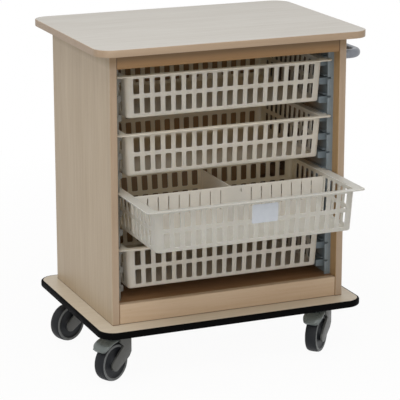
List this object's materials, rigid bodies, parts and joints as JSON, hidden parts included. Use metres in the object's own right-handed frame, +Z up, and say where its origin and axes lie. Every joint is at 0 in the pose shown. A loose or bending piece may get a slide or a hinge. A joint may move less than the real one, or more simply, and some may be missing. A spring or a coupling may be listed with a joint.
{
  "type": "mobile tray storage unit",
  "caption": "Mobile storage trolley: laminated carcass with a worktop and a bumpered base on swivel castors, with slotted plastic trays that slide on moulded runner panels and a push handle.",
  "frame": {"origin": "on the floor under the middle of the carcass, whose panels are centred on it left to right and front to back", "axes": "+Z up; -Y is the open front that the trays come out of; +X is the side with the push handle"},
  "size_m": [0.7813, 0.651, 0.873],
  "materials": {
    "top_laminate": "satin light laminate",
    "edge_band": "satin edge band",
    "front_laminate": "satin beech laminate",
    "panel_laminate": "satin beech laminate",
    "inner_laminate": "satin beech laminate",
    "bumper_plastic": "matte black edging",
    "handle_metal": "silver grey powder coat",
    "runner_plastic": "satin blue-grey moulding",
    "tray_plastic": "satin off-white moulding",
    "divider_plastic": "satin off-white sheet",
    "fork_plastic": "satin grey moulding",
    "hub_plastic": "satin dark grey moulding",
    "tread_rubber": "matte grey tread",
    "pedal_plastic": "satin grey moulding",
    "castor_steel": "zinc plated"
  },
  "bodies": {
    "carcass": {"top_board": "top_laminate", "top_edge_band": "edge_band", "base_board": "front_laminate", "base_bumper": "bumper_plastic", "side_panel_left": "panel_laminate", "side_panel_right": "panel_laminate", "back_panel": "inner_laminate", "top_rail": "front_laminate", "plinth_rail": "front_laminate", "bottom_shelf": "inner_laminate", "push_handle": "handle_metal", "handle_roses": "handle_metal", "runner_panel_left": "runner_plastic", "runner_panel_right": "runner_plastic", "castor_plates": "castor_steel", "castor_kingpins": "castor_steel"},
    "tray_body_1": {"tray_1": "tray_plastic"},
    "tray_body_2": {"tray_2": "tray_plastic"},
    "tray_body_3": {"tray_3": "tray_plastic", "long_divider": "divider_plastic", "short_divider": "divider_plastic"},
    "tray_body_4": {"tray_4": "tray_plastic"},
    "castor_front_left": {"castor_fork_front_left": "fork_plastic"},
    "wheel_front_left": {"wheel_hub_front_left": "hub_plastic", "wheel_tyre_front_left": "tread_rubber"},
    "pedal_front_left": {"brake_pedal_front_left": "pedal_plastic"},
    "castor_front_right": {"castor_fork_front_right": "fork_plastic"},
    "wheel_front_right": {"wheel_hub_front_right": "hub_plastic", "wheel_tyre_front_right": "tread_rubber"},
    "pedal_front_right": {"brake_pedal_front_right": "pedal_plastic"},
    "castor_rear_left": {"castor_fork_rear_left": "fork_plastic"},
    "wheel_rear_left": {"wheel_hub_rear_left": "hub_plastic", "wheel_tyre_rear_left": "tread_rubber"},
    "castor_rear_right": {"castor_fork_rear_right": "fork_plastic"},
    "wheel_rear_right": {"wheel_hub_rear_right": "hub_plastic", "wheel_tyre_rear_right": "tread_rubber"}
  },
  "joints": [
    {"name": "tray_slide_1", "type": "slide", "parent": "carcass", "child": "tray_body_1", "axis": [0, -1, 0], "range_m": [0, 0.28]},
    {"name": "tray_slide_2", "type": "slide", "parent": "carcass", "child": "tray_body_2", "axis": [0, -1, 0], "range_m": [0, 0.28]},
    {"name": "tray_slide_3", "type": "slide", "parent": "carcass", "child": "tray_body_3", "axis": [0, -1, 0], "range_m": [-0.198, 0.082]},
    {"name": "tray_slide_4", "type": "slide", "parent": "carcass", "child": "tray_body_4", "axis": [0, -1, 0], "range_m": [0, 0.28]},
    {"name": "castor_swivel_front_left", "type": "hinge", "parent": "carcass", "child": "castor_front_left", "pos_m": [-0.3, -0.199, 0], "axis": [0, 0, 1], "continuous": true},
    {"name": "wheel_spin_front_left", "type": "hinge", "parent": "castor_front_left", "child": "wheel_front_left", "pos_m": [-0.33311, -0.21765, 0.05], "axis": [0.4909, -0.8712, 0], "continuous": true},
    {"name": "brake_press_front_left", "type": "hinge", "parent": "castor_front_left", "child": "pedal_front_left", "pos_m": [-0.31742, -0.20882, 0.107], "axis": [0.4909, -0.8712, 0], "range_deg": [0, 7], "stiffness_Nm_per_rad": 0.6},
    {"name": "castor_swivel_front_right", "type": "hinge", "parent": "carcass", "child": "castor_front_right", "pos_m": [0.278, -0.199, 0], "axis": [0, 0, 1], "continuous": true},
    {"name": "wheel_spin_front_right", "type": "hinge", "parent": "castor_front_right", "child": "wheel_front_right", "pos_m": [0.25094, -0.22568, 0.05], "axis": [0.7022, -0.712, 0], "continuous": true},
    {"name": "brake_press_front_right", "type": "hinge", "parent": "castor_front_right", "child": "pedal_front_right", "pos_m": [0.26376, -0.21304, 0.107], "axis": [0.7022, -0.712, 0], "range_deg": [0, 7], "stiffness_Nm_per_rad": 0.6},
    {"name": "castor_swivel_rear_left", "type": "hinge", "parent": "carcass", "child": "castor_rear_left", "pos_m": [-0.3, 0.135, 0], "axis": [0, 0, 1], "continuous": true},
    {"name": "wheel_spin_rear_left", "type": "hinge", "parent": "castor_rear_left", "child": "wheel_rear_left", "pos_m": [-0.33498, 0.12015, 0.05], "axis": [0.3907, -0.9205, 0], "continuous": true},
    {"name": "castor_swivel_rear_right", "type": "hinge", "parent": "carcass", "child": "castor_rear_right", "pos_m": [0.278, 0.135, 0], "axis": [0, 0, 1], "continuous": true},
    {"name": "wheel_spin_rear_right", "type": "hinge", "parent": "castor_rear_right", "child": "wheel_rear_right", "pos_m": [0.24687, 0.1132, 0.05], "axis": [0.5736, -0.8192, 0], "continuous": true}
  ]
}
